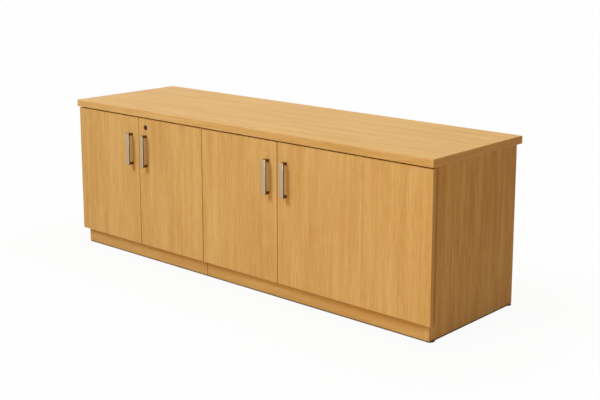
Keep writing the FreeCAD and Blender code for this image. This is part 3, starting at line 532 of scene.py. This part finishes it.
class CREDENZA_OT_fittings(bpy.types.Operator):
    """Finish the lock, hinges, screws, cams, pins, glides and bumpers"""
    bl_idname = "credenza.fittings"
    bl_label = "Fittings"

    def execute(self, context):
        look = context.scene.credenza_look
        # Nickel plate on pressed steel: bright, with narrow highlights
        steel = brushed_metal("nickel_plated_steel", look.steel, roughness=0.3,
                              line_width=1.5 * MM, contrast=0.06)
        # Zinc plate: a cooler and duller grey than the nickel
        zinc = brushed_metal("zinc_plated_steel", look.zinc, roughness=0.4,
                             line_width=1.5 * MM, contrast=0.08)
        # Bare zinc casting: a dull mid grey with a faint grain
        cast = moulded("cast_zinc", look.casting, roughness=0.5, speckle_width=1.5 * MM)
        # Moulded nylon: nearly black, with a broad weak sheen
        plastic = moulded("moulded_nylon", look.plastic, roughness=0.5, speckle_width=1 * MM)
        # Clear elastomer gone milky: pale and smooth
        bumper = moulded("clear_elastomer", look.bumper, roughness=0.35, speckle_width=1 * MM)
        # Nickel ring turned bronze: a dark rim that only just catches the light
        bezel = brushed_metal("lock_nickel", look.bezel, roughness=0.4,
                              line_width=0.8 * MM, contrast=0.06)
        # Blackened brass: a plug that reads as a dark dot
        plug = moulded("blackened_brass", look.plug, roughness=0.7, speckle_width=0.8 * MM)
        groups = {
            steel: ["hinge_arms", "hinge_plates", "lock_strike", "lock_cam", "lock_nut"],
            zinc: ["hinge_screws", "strike_screws", "cam_bolts", "shelf_pins"],
            cast: ["cam_fittings"],
            plastic: ["glides"],
            bumper: ["door_bumpers"],
            bezel: ["lock_housing"],
            plug: ["lock_plug"],
        }
        for door in DOORS:
            groups[steel] += [door + "_hinge_cups", door + "_front_links", door + "_rear_links"]
            groups[zinc] += [door + "_cup_screws", door + "_handle_screws"]
        for material, names in groups.items():
            for name in names:
                dress(name, material)
        return {"FINISHED"}


# Studio


def add_lamp(name, place, target, size, power, colour):
    """A square lamp that looks at a point."""
    deselect()
    bpy.ops.object.light_add(type="AREA", location=place)
    lamp = bpy.context.object
    lamp.name = name
    lamp.data.energy = power
    lamp.data.color = colour[:3]
    lamp.data.size = size
    away = lamp.location - Vector(target)
    lamp.rotation_euler = away.to_track_quat("Z", "Y").to_euler()


def seen_rays(tree):
    """1 where a surface is looked at, directly or in a sheen, and 0 where it only gives light."""
    path = add_node(tree, "ShaderNodeLightPath")
    seen = path.outputs["Is Camera Ray"]
    for ray in ("Is Glossy Ray", "Is Transmission Ray"):
        seen = add_node(tree, "ShaderNodeMath", settings={"operation": "MAXIMUM"},
                        links={0: seen, 1: path.outputs[ray]}).outputs[0]
    return seen


def pale_floor(stage):
    """A matt studio floor that looks white, yet stays dark beneath the boards and keeps a faint
    shadow round them."""
    material, tree = new_material("studio_floor")
    beyond = add_node(tree, "ShaderNodeTexCoord").outputs["Object"]
    steps = (("SUBTRACT", (GROUND_LOW + GROUND_HIGH) / 2),
             ("ABSOLUTE", None),
             ("SUBTRACT", (GROUND_HIGH - GROUND_LOW) / 2),
             ("MAXIMUM", (0, 0, 0)))
    for operation, operand in steps:
        beyond = add_node(tree, "ShaderNodeVectorMath", links={0: beyond},
                          settings={"operation": operation},
                          values={} if operand is None else {1: operand}).outputs[0]
    distance = add_node(tree, "ShaderNodeVectorMath", links={0: beyond},
                        settings={"operation": "LENGTH"}).outputs["Value"]
    outside = add_node(tree, "ShaderNodeMath", links={0: distance},
                       settings={"operation": "GREATER_THAN"}, values={1: GROUND_MARGIN})
    white_share = add_node(tree, "ShaderNodeMapRange", links={"Value": distance},
                           values={"From Max": SHADOW_REACH, "To Min": stage.floor_near,
                                   "To Max": stage.floor_far})
    share = add_node(tree, "ShaderNodeMath", settings={"operation": "MULTIPLY"},
                     links={0: seen_rays(tree), 1: outside.outputs[0]})
    level = add_node(tree, "ShaderNodeMath", settings={"operation": "MULTIPLY"},
                     links={0: share.outputs[0], 1: white_share.outputs[0]})
    matt = add_node(tree, "ShaderNodeBsdfDiffuse", values={"Color": stage.floor_colour})
    white = add_node(tree, "ShaderNodeEmission", values={"Strength": 1.0})
    mixed = add_node(tree, "ShaderNodeMixShader",
                     links={0: level.outputs[0], 1: matt.outputs[0], 2: white.outputs[0]})
    close_material(tree, mixed)
    return material


def light_world(scene, stage):
    """An even fill that looks white where it is seen."""
    world = bpy.data.worlds.new("studio")
    world.use_nodes = True
    tree = world.node_tree
    tree.nodes.clear()
    seen = seen_rays(tree)
    strength = add_node(tree, "ShaderNodeMapRange", links={"Value": seen},
                        values={"To Min": stage.fill, "To Max": 1.0})
    colour = add_node(tree, "ShaderNodeMix", links={0: seen}, settings={"data_type": "RGBA"},
                      values={COLOUR_A: stage.fill_colour, COLOUR_B: linear("#FFFFFF")})
    sky = add_node(tree, "ShaderNodeBackground",
                   links={"Color": colour.outputs[COLOUR_MIXED],
                          "Strength": strength.outputs[0]})
    add_node(tree, "ShaderNodeOutputWorld", links={"Surface": sky.outputs[0]})
    scene.world = world


def add_camera(scene):
    """The camera, with its image centre shifted so that uprights stay nearly upright."""
    deselect()
    turn = (math.radians(90 - CAMERA_DIP), 0, math.radians(CAMERA_TURN))
    bpy.ops.object.camera_add(location=CAMERA_PLACE, rotation=turn)
    camera = bpy.context.object
    camera.name = "camera"
    camera.data.sensor_width = SENSOR
    camera.data.lens = FOCAL_PIXELS / FRAME_PIXELS * SENSOR
    camera.data.shift_y = SHIFT_PIXELS / FRAME_PIXELS
    scene.camera = camera


class CREDENZA_OT_stage(bpy.types.Operator):
    """Set the floor, the lamps, the background and the camera"""
    bl_idname = "credenza.stage"
    bl_label = "Studio"

    def execute(self, context):
        scene = context.scene
        stage = scene.credenza_stage
        deselect()
        bpy.ops.mesh.primitive_plane_add(size=FLOOR_SIZE)
        floor = settle("studio_floor", pale_floor(stage))
        add_lamp("key_lamp", *KEY_LAMP, stage.key_power, stage.key_colour)
        add_lamp("side_lamp", *SIDE_LAMP, stage.side_power, stage.side_colour)
        add_lamp("overhead_lamp", *OVERHEAD_LAMP, stage.overhead_power, stage.overhead_colour)
        light_world(scene, stage)
        add_camera(scene)
        scene.view_settings.view_transform = "Standard"
        return {"FINISHED"}


# Add-on


OPERATORS = (CREDENZA_OT_boards, CREDENZA_OT_handles, CREDENZA_OT_fittings, CREDENZA_OT_stage)


class CREDENZA_PT_panel(bpy.types.Panel):
    """Lists the steps that dress the credenza, and their settings"""
    bl_idname = "CREDENZA_PT_panel"
    bl_label = "Credenza"
    bl_space_type = "VIEW_3D"
    bl_region_type = "UI"
    bl_category = "Credenza"

    def draw(self, context):
        for operator in OPERATORS:
            self.layout.operator(operator.bl_idname)
        for group in (context.scene.credenza_look, context.scene.credenza_stage):
            for name in group.bl_rna.properties.keys():
                if name not in ("rna_type", "name"):
                    self.layout.prop(group, name)


CLASSES = (CredenzaLook, CredenzaStage, *OPERATORS, CREDENZA_PT_panel)


def register():
    for cls in CLASSES:
        bpy.utils.register_class(cls)
    bpy.types.Scene.credenza_look = bpy.props.PointerProperty(type=CredenzaLook)
    bpy.types.Scene.credenza_stage = bpy.props.PointerProperty(type=CredenzaStage)


def unregister():
    del bpy.types.Scene.credenza_stage
    del bpy.types.Scene.credenza_look
    for cls in reversed(CLASSES):
        bpy.utils.unregister_class(cls)


def main():
    register()
    bpy.ops.credenza.boards()
    bpy.ops.credenza.handles()
    bpy.ops.credenza.fittings()
    bpy.ops.credenza.stage()


if __name__ == "__main__":
    main()
